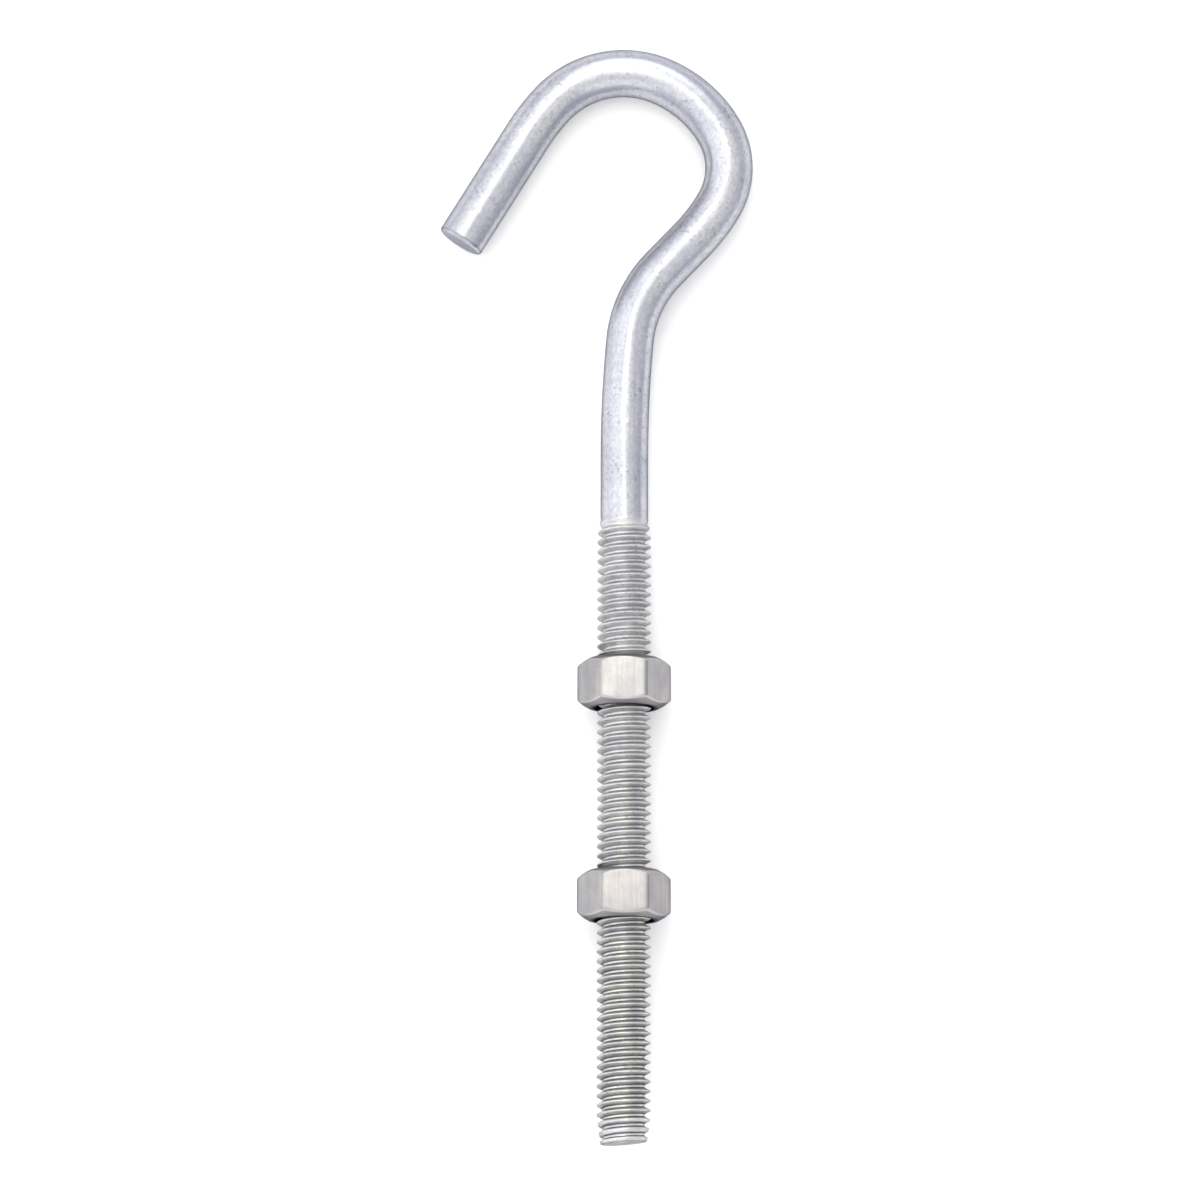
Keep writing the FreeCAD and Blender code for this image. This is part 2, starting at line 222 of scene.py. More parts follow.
bend_lengths = HOOK_STEPS[:, 0] * np.radians(np.abs(HOOK_STEPS[:, 1])) + HOOK_STEPS[:, 2]
samples = np.maximum((bend_lengths / SAMPLE).astype(int), 1)
step_length = np.repeat(bend_lengths / samples, samples)
step_turn = np.repeat(np.radians(HOOK_STEPS[:, 1]) / samples, samples)
heading = STRAIGHT_ON + np.cumsum(step_turn) - step_turn / 2
path_x = np.concatenate(([0.0], np.cumsum(step_length * np.cos(heading))))
path_y = np.concatenate(([0.0], np.cumsum(step_length * np.sin(heading))))
path_run = np.concatenate(([0.0], np.cumsum(step_length)))
path_heading = np.concatenate(([STRAIGHT_ON], STRAIGHT_ON + np.cumsum(step_turn)))
print(f"hook path {path_run[-1]:.1f} mm long, tip at x {path_x[-1]:.2f}, y {path_y[-1]:.2f} mm")

# %% [markdown]
# ## The threaded skin
# On the thread the rows of points climb with the helix, so every crest and every root is followed by a
# row and stays crisp. Level rows would cut across the ridge and make it look notched. A few pitches more
# than needed are made at both ends, and sliced off later.

# %% Threaded skin
COLUMNS = 72
ROW_PHASES = np.array((0.0, 0.035, 0.065, 0.13, 0.21, 0.30, 0.385, 0.415, 0.50,
                       0.585, 0.615, 0.70, 0.79, 0.87, 0.935, 0.965))
SPARE_BEFORE, SPARE_AFTER = 3, 2


def threaded_skin():
    """Points and quads of the threaded skin, rows climbing with the helix.

    Row number m is (pitch number, place in the pitch); at angle a it lies at
    pitch * (m's phase + a / full turn) along the axis, and bolt_radius gives how far out it stands.
    The last column meets the first one pitch further on.
    """
    first_pitch = math.floor(THREAD_END / PITCH) - SPARE_BEFORE
    phases = (np.arange(first_pitch, SPARE_AFTER)[:, None] + ROW_PHASES[None, :]).ravel()
    angle = np.linspace(0.0, 2.0 * np.pi, COLUMNS, endpoint=False)
    along = PITCH * (phases[:, None] + (angle[None, :] - CREST_TURN) / (2.0 * np.pi))
    around = np.broadcast_to(angle, along.shape)
    radius = bolt_radius(around, along)
    points = np.stack((radius * np.sin(around), along, radius * np.cos(around)), axis=-1)
    rows = len(phases)
    quads = grid_faces(rows, COLUMNS, closed=False)
    row = np.arange(rows - len(ROW_PHASES) - 1)
    last = row * COLUMNS + COLUMNS - 1
    first = (row + len(ROW_PHASES)) * COLUMNS
    seam = np.stack((last, first, first + COLUMNS, last + COLUMNS), axis=-1)
    return points.reshape(-1, 3), np.concatenate((quads, seam))


thread_points, thread_quads = threaded_skin()
print("thread rows", len(thread_points) // COLUMNS, "columns", COLUMNS)

# %% [markdown]
# ## The rod's skin
# Past the run-out the rod is a plain circle. A curve with a round bevel would give the same tube, but a
# circle carried along the path by numpy also gives the unbent place of each point for free. The saw
# left the tip flat, and its rim was dulled to a small quarter round.

# %% Rod skin
SKIN_START = 2.0
RIM = 0.5
RIM_ROWS = 6
ROD_STEP = 0.6


def rod_skin():
    """Points, quads and unbent places of the plain rod, from the thread's skin to the tip's rim.

    A point is the path's place plus the circle's sine along the path's right-hand side and its
    cosine along z. The rim is a quarter circle that takes the radius in while the run goes on.
    """
    run = np.concatenate((np.arange(SKIN_START, path_run[-1] - RIM, ROD_STEP), [path_run[-1] - RIM]))
    rim = np.radians(np.linspace(0.0, 90.0, RIM_ROWS))[1:]
    inside = np.linspace(1.0, 0.0, RIM_ROWS)[1:-1]
    radius = np.concatenate((np.full(len(run), ROD_RADIUS), ROD_RADIUS - RIM + RIM * np.cos(rim),
                             (ROD_RADIUS - RIM) * inside))
    run = np.concatenate((run, path_run[-1] - RIM + RIM * np.sin(rim),
                          np.full(len(inside), path_run[-1])))
    x = np.interp(run, path_run, path_x)[:, None]
    y = np.interp(run, path_run, path_y)[:, None]
    aim = np.interp(run, path_run, path_heading)[:, None]
    angle = np.linspace(0.0, 2.0 * np.pi, COLUMNS, endpoint=False)[None, :]
    out = radius[:, None] * np.sin(angle)
    up = radius[:, None] * np.cos(angle)
    points = np.stack((x + out * np.sin(aim), y - out * np.cos(aim), up), axis=-1)
    unbent = np.stack((out, run[:, None] + 0.0 * out, up), axis=-1)
    return points.reshape(-1, 3), grid_faces(len(run), COLUMNS, closed=True), unbent.reshape(-1, 3)


rod_points, rod_quads, rod_unbent = rod_skin()
print("rod rows", len(rod_points) // COLUMNS, "columns", COLUMNS)

# %% [markdown]
# ## Cut and close
# The free end was sheared four degrees out of square, which leaves a slanted oval with a slightly
# bevelled edge. A slanted plane slices the climbing rows just as the shears did, and the open loop that
# it leaves is filled. Two small helpers do the cutting and the closing.

# %% Slice and close helpers
CUT_METRES = 1e-9


def slice_away(shape, place, normal):
    """Cut all that lies beyond a plane and return the open loop that the cut leaves."""
    parts = shape.verts[:] + shape.edges[:] + shape.faces[:]
    cut = bmesh.ops.bisect_plane(shape, geom=parts, dist=CUT_METRES, plane_co=place,
                                 plane_no=normal, clear_outer=True)
    return [item for item in cut["geom_cut"] if isinstance(item, bmesh.types.BMEdge)]


def close_piece(piece, shape):
    """Turn all faces outwards, give the shape to the piece's mesh and count the edges left open."""
    bmesh.ops.recalc_face_normals(shape, faces=shape.faces[:])
    open_left = sum(edge.is_boundary for edge in shape.edges)
    shape.to_mesh(piece.data)
    shape.free()
    piece.data.shade_smooth()
    print(piece.name, "closed:", len(piece.data.polygons), "faces, open edges", open_left)


# %% [markdown]
# ## The bolt
# The bolt is one piece of metal, so one closed skin stands for the whole of it: the threaded skin is
# sliced at both ends, its free end is filled, and the rod's skin is bridged on where the two circles
# face each other. Two overlapping pieces would be easier, but light would show the seam.

# %% Bolt
CUT_BACK = 0.3
END_CUT = math.tan(math.radians(4.0))
END_BEVEL_WIDTH, END_BEVEL_DEPTH = 0.12, 0.05
LEG_SIDE = -10.0


def make_bolt():
    """The bolt's closed skin. Loops left of LEG_SIDE belong to the hook's tip, the others to the joint."""
    piece = new_piece("bolt_skin", new_mesh("bolt_skin", thread_points, thread_quads, thread_points))
    shape = bmesh.new()
    shape.from_mesh(piece.data)
    slice_away(shape, (0, (SKIN_START - CUT_BACK) * MM, 0), (0, 1, 0))
    sheared = slice_away(shape, (0, THREAD_END * MM, 0), (END_CUT, -1, 0))
    face = bmesh.ops.contextual_create(shape, geom=sheared)["faces"]
    bmesh.ops.inset_region(shape, faces=face, thickness=END_BEVEL_WIDTH * MM,
                           depth=END_BEVEL_DEPTH * MM)
    rod_mesh = new_mesh("rod_skin", rod_points, rod_quads, rod_unbent)
    shape.from_mesh(rod_mesh)
    bpy.data.meshes.remove(rod_mesh)
    open_edges = [edge for edge in shape.edges if edge.is_boundary]
    tip_loop = [edge for edge in open_edges if edge.verts[0].co.x < LEG_SIDE * MM]
    bmesh.ops.contextual_create(shape, geom=tip_loop)
    joint_loops = [edge for edge in open_edges if edge.verts[0].co.x > LEG_SIDE * MM]
    bmesh.ops.bridge_loops(shape, edges=joint_loops)
    close_piece(piece, shape)
    return piece


bolt = make_bolt()
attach(bolt, "bolt")
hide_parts("hook_bolt")

# %% [markdown]
# ## The nuts' hexagon
# A hex nut is forged, chamfered at both ends and tapped. It could be modelled as a prism with parts cut
# away, but then its edges have no softness. Seen as a turned thing, only its outermost radius changes
# with the angle, from flat to worn corner, so one formula for that radius makes the hexagon.

# %% Hexagon
FLAT_RADIUS = 6.0
CORNER_ROUNDING = 0.45
NUT_COLUMNS = 144
COLUMN_PULL = 0.11


def hexagon_radius(angle):
    """Distance from the axis to a hexagon with rounded corners, its flats facing 0, 60, 120 ... degrees.

    In the sixth of a turn round one corner, the flat gives flat / cos(angle from the flat). Near the
    corner a circle of the rounding's radius takes over, whichever of the two is nearer the axis. It
    touches the flat at half its radius aside from the corner.
    """
    off_flat = (angle + np.pi / 6) % (np.pi / 3) - np.pi / 6
    flat = FLAT_RADIUS / np.cos(off_flat)
    off_corner = np.pi / 6 - np.abs(off_flat)
    centre = (FLAT_RADIUS - CORNER_ROUNDING) / math.cos(math.pi / 6)
    aside = centre * np.sin(off_corner)
    rounded = centre * np.cos(off_corner) + np.sqrt(
        CORNER_ROUNDING ** 2 - np.minimum(aside ** 2, CORNER_ROUNDING ** 2))
    return np.where(aside < CORNER_ROUNDING * 0.5, np.minimum(flat, rounded), flat)


def nut_columns():
    """Angles of the columns: even steps, drawn closer together towards the six corners."""
    even = np.linspace(0.0, 2.0 * np.pi, NUT_COLUMNS, endpoint=False)
    return even - COLUMN_PULL * np.sin(6.0 * even)


print(f"hexagon {2 * FLAT_RADIUS:.1f} mm across flats,",
      f"{2 * hexagon_radius(nut_columns()).max():.2f} mm across its worn corners")

# %% [markdown]
# ## The nuts' outline
# Turned tools cut a 30 degree cone on both ends of a hex nut. Where the cone meets a flat the edge is a
# curve, highest at the corners, and it falls out by itself here: the outline runs over the face, down
# the cone and along the flat, and the flat simply begins further out at the corners.

# %% Nut outline
NUT_HEIGHT = 7.3
FACE_RADIUS = 5.15
SINK_RADIUS = 4.5
FACE_LIP = 0.02
CHAMFER = math.tan(math.radians(30.0))
CORNER_RADIUS = FLAT_RADIUS / math.cos(math.pi / 6)
# The end face from the countersink's edge to the shoulder: radius and height in mm
FACE_ROWS = ((SINK_RADIUS, FACE_LIP), (SINK_RADIUS + 0.04, 0.0), ((SINK_RADIUS + FACE_RADIUS) / 2, 0.0),
             (FACE_RADIUS - 0.10, 0.0), (FACE_RADIUS + 0.01, 0.03),
             (FACE_RADIUS + 0.12, 0.12 * CHAMFER + 0.01))
CONE_MIDDLE = 0.4
# The bend from cone to flat, in shares of its length: inwards, back down the cone, up the flat
BEND_ROWS = ((1.00, 1.00, 0.00), (0.51, 0.36, 0.10), (0.17, 0.00, 0.12), (0.03, 0.00, 0.52),
             (0.00, 0.00, 1.00))
FLAT_SHARES = (0.33, 0.66)


def nut_outline(angle, soft):
    """Radius and height of the nut's outer profile at each angle, from one countersink to the other.

    The middle of each face, chamfer and flat is straight. Where chamfer and flat meet, a smooth bend
    stands in for the sharp line: `soft` mm long at the corners, where it was worn, and less between them.
    """
    outer = hexagon_radius(angle)
    ones = np.ones_like(outer)
    drop = (outer - FACE_RADIUS) * CHAMFER
    bend = soft * (outer - FACE_RADIUS) / (CORNER_RADIUS - FACE_RADIUS)
    half = [(radius * ones, height * ones) for radius, height in FACE_ROWS]
    half.append((FACE_RADIUS + (outer - FACE_RADIUS) * CONE_MIDDLE, drop * CONE_MIDDLE))
    half += [(outer - bend * inwards, drop - bend * down * CHAMFER + bend * up)
             for inwards, down, up in BEND_ROWS]
    half += [(outer, drop + share * (NUT_HEIGHT / 2 - drop)) for share in FLAT_SHARES]
    radii = [pair[0] for pair in half]
    heights = [pair[1] for pair in half]
    radii += [outer] + radii[::-1]
    heights += [NUT_HEIGHT / 2 * ones] + [NUT_HEIGHT - height for height in heights[::-1]]
    return np.array(radii), np.array(heights)


print("nut outline:", len(nut_outline(nut_columns(), CORNER_ROUNDING)[0]), "rows")

# %% [markdown]
# ## The nuts' bore
# The tap cuts the bolt's own thread into the nut, with a running clearance, and leaves the drilled
# bore as the thread's crests. Asking bolt_radius for the shape keeps ridge and groove in step at every
# place along the bolt, which a separate thread for the nut would have to be told.

# %% Tapped bore
THREAD_CLEARANCE = 0.06
NUT_BORE_RADIUS = 3.22
BORE_ROWS = 96
SINK_SLOPE = math.tan(math.radians(40.0))


def nut_bore(angle, back_face, turn):
    """Radius and height of the tapped bore: the bolt's own thread plus a running clearance.

    The tap leaves crests at the bore's drilled radius, and the countersinks open both ends: there the
    radius is the countersink's, less the depth under the face divided by the cone's slope.
    """
    height = np.linspace(NUT_HEIGHT - FACE_LIP, FACE_LIP, BORE_ROWS)[:, None]
    around = angle[None, :] + turn
    tapped = bolt_radius(around, back_face + height) + THREAD_CLEARANCE
    radius = np.maximum(tapped, NUT_BORE_RADIUS)
    from_face = np.minimum(height, NUT_HEIGHT - height)
    sunk = SINK_RADIUS - from_face / SINK_SLOPE
    return np.maximum(radius, sunk), np.broadcast_to(height, radius.shape)


print(f"bore {2 * NUT_BORE_RADIUS:.2f} mm wide, thread cleared by {THREAD_CLEARANCE} mm")

# %% [markdown]
# ## The two nuts
# Outline and bore together are one closed profile, carried round the bolt's axis. Both nuts come from
# one function and differ in place, in how far they happen to be turned and in how worn their edges
# are. Each rides its own body, so it moves when its joint does.

# %% Nuts
FRONT_NUT_BACK = -28.6
CLAMP_GAP = 24.1
MERGE_METRES = 1e-7


def make_nut(name, body, back_face, turn_degrees, soft):
    """One nut: outer profile and bore make a closed ring of rows, carried round the bolt's axis."""
    turn = math.radians(turn_degrees)
    angle = nut_columns()
    outer_radius, outer_height = nut_outline(angle, soft)
    bore_radius, bore_height = nut_bore(angle, back_face, turn)
    radius = np.concatenate((outer_radius, bore_radius, outer_radius[:1]))
    height = np.concatenate((outer_height, bore_height, outer_height[:1]))
    around = angle[None, :] + turn
    points = np.stack((radius * np.sin(around), back_face + height, radius * np.cos(around)), axis=-1)
    points = points.reshape(-1, 3)
    quads = grid_faces(len(radius), len(angle), closed=True)
    piece = new_piece(name, new_mesh(name, points, quads, points))
    shape = bmesh.new()
    shape.from_mesh(piece.data)
    bmesh.ops.remove_doubles(shape, verts=shape.verts[:], dist=MERGE_METRES)
    close_piece(piece, shape)
    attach(piece, body)
    return piece


front_nut = make_nut("front_nut_skin", "front_nut_body", FRONT_NUT_BACK, -1.4, 0.45)
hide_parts("front_nut")
rear_nut = make_nut("rear_nut_skin", "rear_nut_body", FRONT_NUT_BACK - CLAMP_GAP - NUT_HEIGHT, 1.8, 0.60)
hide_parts("rear_nut")

# %% [markdown]
# ## Finishes from nodes
# Zinc plate is a thin bright coat that shows what lies under it: fine pits and specks from the drawn
# wire, faint lines along the draw, and a duller, greyer skin in the thread. Pictures of metal could be
# wrapped round the parts, but they stretch at the bends. Here each finish is worked out from the place
# itself by nodes, and these helpers keep the node code short.

# %% Nodes and groups
def add_node(tree, kind, **settings):
    """A new node with its properties and, where a name is a socket's, the socket's value set."""
    node = tree.nodes.new(kind)
    for name, value in settings.items():
        if name in node.inputs:
            node.inputs[name].default_value = value
        else:
            setattr(node, name, value)
    return node


def feed(tree, term, socket):
    """Give a socket either a plain value or a link from another socket."""
    if isinstance(term, bpy.types.NodeSocket):
        tree.links.new(term, socket)
    else:
        socket.default_value = term


# %% [markdown]
# ## Groups of nodes
# Rod and nuts share the same pits and draw lines, as they share the same plating. A node group keeps
# such a pattern in one place: it is made once, read by both finishes, and set a little differently in
# each by its inputs.

# %% Groups
def start_group(name, inputs, outputs):
    """An empty node group with inputs (name: default, None for a place) and outputs (names of floats)."""
    group = bpy.data.node_groups.new(name, "ShaderNodeTree")
    for socket, default in inputs.items():
        kind = "NodeSocketVector" if default is None else "NodeSocketFloat"
        made = group.interface.new_socket(name=socket, in_out="INPUT", socket_type=kind)
        if default is not None:
            made.default_value = default
    for socket in outputs:
        group.interface.new_socket(name=socket, in_out="OUTPUT", socket_type="NodeSocketFloat")
    print("group", name, "reads", list(inputs), "and gives", list(outputs))
    return group, group.nodes.new("NodeGroupInput"), group.nodes.new("NodeGroupOutput")


def placed_group(tree, group, place, **values):
    """A node that holds a group, fed with the place it reads."""
    holder = add_node(tree, "ShaderNodeGroup", node_tree=group)
    for name, value in values.items():
        holder.inputs[name].default_value = value
    tree.links.new(place, holder.inputs["Place"])
    return holder


# %% [markdown]
# ## Values and masks
# A finish is built like the real surface, as layers: a mask says where a layer shows, and a mask is a
# noise or a distance with its contrast raised. Window cuts a mask out of any value, between spreads a
# mask over a range of values, and the noise is the usual source of both.

# %% Values and masks
def calculate(tree, operation, *terms, clamp=False):
    """What a Math node makes of its terms, each a socket or a number."""
    node = add_node(tree, "ShaderNodeMath", operation=operation, use_clamp=clamp)
    for term, socket in zip(terms, node.inputs):
        feed(tree, term, socket)
    return node.outputs[0]


def times(tree, first, second):
    """The product of two sockets, or of a socket and a number, held between 0 and 1."""
    return calculate(tree, "MULTIPLY", first, second, clamp=True)


def window(tree, value, low, high):
    """0 where the value is at or under low, 1 where it is at or over high, even in between."""
    ramp = add_node(tree, "ShaderNodeMapRange", **{"From Min": low, "From Max": high})
    tree.links.new(value, ramp.inputs["Value"])
    return ramp.outputs["Result"]


def between(tree, value, low, high):
    """A 0 to 1 value spread between two others."""
    ramp = add_node(tree, "ShaderNodeMapRange", **{"To Min": low, "To Max": high})
    tree.links.new(value, ramp.inputs["Value"])
    return ramp.outputs["Result"]


def noise_at(tree, place, scale, detail=4.0, roughness=0.6):
    """A soft cloud noise read at a place. The scale is about how many clouds there are to the metre."""
    noise = add_node(tree, "ShaderNodeTexNoise", Detail=detail, Roughness=roughness)
    tree.links.new(place, noise.inputs["Vector"])
    feed(tree, scale, noise.inputs["Scale"])
    return noise.outputs["Fac"]


# %% [markdown]
# ## Where a place is
# The masks of thread, tip and nut edges follow from geometry, not from noise. Painting them by hand
# would have to be done again after each change of size. Two distances are enough: one along the
# bolt's axis and one out from it.

# %% Distances
def coordinate(tree, place, axis):
    """One coordinate of a place: "X", "Y" or "Z"."""
    parts = add_node(tree, "ShaderNodeSeparateXYZ")
    tree.links.new(place, parts.inputs[0])
    return parts.outputs[axis]


def axis_distance(tree, place):
    """How far a place is from the bolt's axis in metres: the root of x squared plus z squared."""
    flat = add_node(tree, "ShaderNodeCombineXYZ")
    for axis in ("X", "Z"):
        tree.links.new(coordinate(tree, place, axis), flat.inputs[axis])
    reach = add_node(tree, "ShaderNodeVectorMath", operation="LENGTH")
    tree.links.new(flat.outputs[0], reach.inputs[0])
    return reach.outputs["Value"]


# %% [markdown]
# ## Colours and layers
# A plated surface is a base colour with thin layers over it, each covering only part of what lies
# below. Mixing nodes one after another do the same, and a short list of layers reads more easily than
# a chain of nodes.

# %% Colours and layers
def blend_values(tree, amount, below, above):
    """The value below, changing to the value above by an amount from 0 to 1."""
    mix = add_node(tree, "ShaderNodeMix", data_type="FLOAT")
    for place, socket in ((0, amount), (2, below), (3, above)):
        tree.links.new(socket, mix.inputs[place])
    return mix.outputs[0]


def blend_colours(tree, amount, below, above):
    """The colour below, changing to the colour above by an amount from 0 to 1."""
    mix = add_node(tree, "ShaderNodeMix", data_type="RGBA")
    tree.links.new(amount, mix.inputs[0])
    for place, colour in ((6, below), (7, above)):
        feed(tree, (*colour, 1.0) if isinstance(colour, tuple) else colour, mix.inputs[place])
    return mix.outputs[2]


def lay_over(tree, colour, layers):
    """Layers over a colour, first to last: each has a mask, the share of it that shows and a colour."""
    for mask, share, above in layers:
        colour = blend_colours(tree, times(tree, mask, share), colour, above)
    return colour


def tell_brightness(what, colours):
    """Print how bright each colour of a surface is: the mean of its three parts."""
    print(what, "brightness, layer by layer:", np.round(np.mean(colours, axis=1), 2))


# %% [markdown]
# ## Pits and specks
# The drawn wire has small pits that the thin plate doesn't fill, and they show as dark specks in loose
# flocks. One noise alone would spread them evenly. A fine noise, cut off high, makes the specks, and a
# coarse one lets them show only in some places.

# %% Pits
PIT_FLOCKS = 260.0


def make_pits():
    """Fine dark specks: a fine noise cut off high, kept only where a coarse noise is high too."""
    group, given, made = start_group("pits", {"Place": None, "Grain": 1700.0, "Amount": 0.5}, ("Mask",))
    place = given.outputs["Place"]
    fine = noise_at(group, place, given.outputs["Grain"], 3.0)
    coarse = noise_at(group, place, PIT_FLOCKS, 3.0)
    speck = window(group, fine, 0.55, 0.68)
    where = window(group, coarse, 0.42, 0.62)
    mask = times(group, times(group, speck, where), given.outputs["Amount"])
    group.links.new(mask, made.inputs["Mask"])
    return group


pits = make_pits()

# %% [markdown]
# ## Draw lines
# Wire is pulled through a die, which leaves faint scratches along it. The rolling dies leave theirs
# round the thread. Both are a noise that was pulled long: the place is squeezed along the scratches
# before the noise reads it, so the same spot of noise covers a longer stretch of metal.

# %% Draw lines
def make_draw_lines():
    """Faint lines along the metal: a noise whose place is squeezed along the rod, so it grows long."""
    group, given, made = start_group(
        "draw_lines", {"Place": None, "Fineness": 900.0, "Across": 1.0, "Along": 0.035}, ("Line",))
    scales = add_node(group, "ShaderNodeCombineXYZ")
    for axis, factor in (("X", "Across"), ("Y", "Along"), ("Z", "Across")):
        group.links.new(given.outputs[factor], scales.inputs[axis])
    squeeze = add_node(group, "ShaderNodeVectorMath", operation="MULTIPLY")
    group.links.new(given.outputs["Place"], squeeze.inputs[0])
    group.links.new(scales.outputs["Vector"], squeeze.inputs[1])
    lines = noise_at(group, squeeze.outputs["Vector"], given.outputs["Fineness"], roughness=0.65)
    group.links.new(lines, made.inputs["Line"])
    return group


draw_lines = make_draw_lines()

# %% [markdown]
# ## Masks for the thread
# On the bolt the plate is dull where the dies worked the metal, and shade is painted at the foot of the
# flanks, more so towards the free end. The straight rod's axis is known, so the distance out from it
# tells root from crest, and the distance along it tells thread from shank.

# %% Thread masks
# Each mask: from this distance in mm, where it is 0, to that one, where it is 1
THREAD_STARTS = (-0.4, -1.4)
FAR_STARTS = (-20.0, -75.0)
GROOVE_STARTS = (3.44, 3.22)
FLOOR_ENDS = (3.05, 3.10)
# The share of the grooves' painted shade that is left next to the shank
LEAST_GROOVE_SHADE = 0.12


def window_mm(tree, value, ends):
    """A window on a distance, its ends given in millimetres."""
    return window(tree, value, ends[0] * MM, ends[1] * MM)


def make_thread_masks():
    """Masks from the unbent place: the threaded length, its far part, and the foot of the flanks, where shade
    is painted.
    """
    group, given, made = start_group("thread_masks", {"Place": None}, ("Threaded", "Groove", "Far"))
    along = coordinate(group, given.outputs["Place"], "Y")
    out = axis_distance(group, given.outputs["Place"])
    threaded = window_mm(group, along, THREAD_STARTS)
    far = window_mm(group, along, FAR_STARTS)
    foot = times(group, window_mm(group, out, GROOVE_STARTS), window_mm(group, out, FLOOR_ENDS))
    strength = times(group, threaded, between(group, far, LEAST_GROOVE_SHADE, 1.0))
    group.links.new(threaded, made.inputs["Threaded"])
    group.links.new(times(group, foot, strength), made.inputs["Groove"])
    group.links.new(far, made.inputs["Far"])
    return group


thread_masks = make_thread_masks()

# %% [markdown]
# ## The metal itself
# Zinc is a metal all through, so its colour is the colour of its reflections. On a metal the shader's
# Specular Tint colours them at grazing angles, and a constant dark tint keeps the rod's edges from
# turning white. Small unevenness, too fine for the mesh, is left to bumps of a real depth.

# %% Zinc shader
EDGE_TINT = (0.25, 0.26, 0.305, 1.0)


def zinc_base(name):
    """A metal with its shader and the unbent place, which both finishes start from."""
    material = bpy.data.materials.new(name)
    material.use_nodes = True
    tree = material.node_tree
    shader = tree.nodes["Principled BSDF"]
    shader.inputs["Metallic"].default_value = 1.0
    shader.inputs["Specular Tint"].default_value = EDGE_TINT
    place = add_node(tree, "ShaderNodeAttribute", attribute_type="GEOMETRY", attribute_name="unbent")
    return material, tree, shader, place.outputs["Vector"]


def grain_bump(tree, shader, heights):
    """Chain one bump after another: pairs of a height socket and the depth in mm that it stands for."""
    normal = None
    for height, depth in heights:
        bump = add_node(tree, "ShaderNodeBump", Strength=1.0, Distance=depth * MM)
        tree.links.new(height, bump.inputs["Height"])
        if normal is not None:
            tree.links.new(normal, bump.inputs["Normal"])
        normal = bump.outputs["Normal"]
    tree.links.new(normal, shader.inputs["Normal"])


print("edge tint of the zinc:", EDGE_TINT[:3])

# %% [markdown]
# ## The rod's colour
# The shank and hook are the bright part: blue-white plate over drawn wire, a little cloudy, lined and
# specked. One noise colour would look like paint, so six thin layers share the work. The sawn tip is
# the brightest face, and a ring of painted shadow runs round just behind its rim, where the saw left a burr.

# %% Rod colour
ROD_BRIGHT = (0.56, 0.56, 0.575)
ROD_DULL = (0.46, 0.47, 0.505)
ROD_LINE = (0.39, 0.405, 0.465)
ROD_BLOTCH = (0.38, 0.39, 0.44)
ROD_GRAIN = (0.33, 0.345, 0.405)
ROD_SPECK = (0.235, 0.24, 0.28)
TIP_FACE = (0.70, 0.69, 0.75)
# Painted shadow: the dark ring behind the tip's rim
TIP_BURR_SHADOW = (0.22, 0.22, 0.255)


def tip_masks(tree, place):
    """The sawn face and the ring of painted shadow behind its rim, by how many mm a place lies from the rod's
    tip.
    """
    run = coordinate(tree, place, "Y")
    tip = path_run[-1]
    face = window_mm(tree, run, (tip - 0.06, tip - 0.01))
    ring = times(tree, window_mm(tree, run, (tip - 0.62, tip - 0.46)),
                 window_mm(tree, run, (tip - 0.20, tip - 0.34)))
    return face, ring


def rod_colour(tree, place, clouds, lines, specks):
    """Cloudy bright plate under draw lines, blotches, a fine grain, specks, the tip's bright face and a ring
    of painted shadow behind its rim.
    """
    face, ring = tip_masks(tree, place)
    base = blend_colours(tree, window(tree, clouds, 0.36, 0.64), ROD_BRIGHT, ROD_DULL)
    return lay_over(tree, base, (
        (window(tree, lines, 0.46, 0.68), 1.0, ROD_LINE),
        (window(tree, noise_at(tree, place, 1500.0), 0.50, 0.58), 0.60, ROD_BLOTCH),
        (window(tree, noise_at(tree, place, 2600.0, 2.0), 0.46, 0.70), 0.45, ROD_GRAIN),
        (specks, 1.0, ROD_SPECK),
        (face, 0.8, TIP_FACE),
        # Painted shadow behind the tip's rim, where the saw left a burr
        (ring, 0.75, TIP_BURR_SHADOW),
    ))


tell_brightness("rod", (ROD_BRIGHT, ROD_DULL, ROD_LINE, ROD_BLOTCH, ROD_GRAIN, ROD_SPECK, TIP_FACE,
                        TIP_BURR_SHADOW))

# %% [markdown]
# ## The thread's colour
# The rolled thread is paler and duller than the rod, and a little yellower towards the free end. Its
# lines run round the turns, and the painted shade in its grooves is patchy: a noise on that layer's
# share, and not on its colour, leaves some grooves without it.

# %% Thread colour
THREAD_NEAR = (0.67, 0.67, 0.665)
THREAD_FAR = (0.67, 0.685, 0.605)
THREAD_CLOUD = (0.55, 0.55, 0.555)
THREAD_LINE = (0.45, 0.45, 0.47)
# Painted shade at the foot of the thread's flanks
THREAD_GROOVE_SHADE = (0.26, 0.26, 0.28)
THREAD_SPECK = (0.22, 0.22, 0.23)


def thread_colour(tree, place, masks, specks):
    """Dull plate, yellower far out, under clouds, lines round the turns, patchy painted shade in the grooves,
    and specks.
    """
    base = blend_colours(tree, masks.outputs["Far"], THREAD_NEAR, THREAD_FAR)
    rolled = placed_group(tree, draw_lines, place, Fineness=1500.0, Across=0.16, Along=1.0)
    patches = between(tree, noise_at(tree, place, 700.0), 0.0, 2.0)
    return lay_over(tree, base, (
        (window(tree, noise_at(tree, place, 420.0), 0.38, 0.62), 1.0, THREAD_CLOUD),
        (window(tree, rolled.outputs["Line"], 0.46, 0.66), 0.7, THREAD_LINE),
        # Painted shade at the foot of the flanks, patchy
        (masks.outputs["Groove"], patches, THREAD_GROOVE_SHADE),
        (specks, 0.7, THREAD_SPECK),
    ))


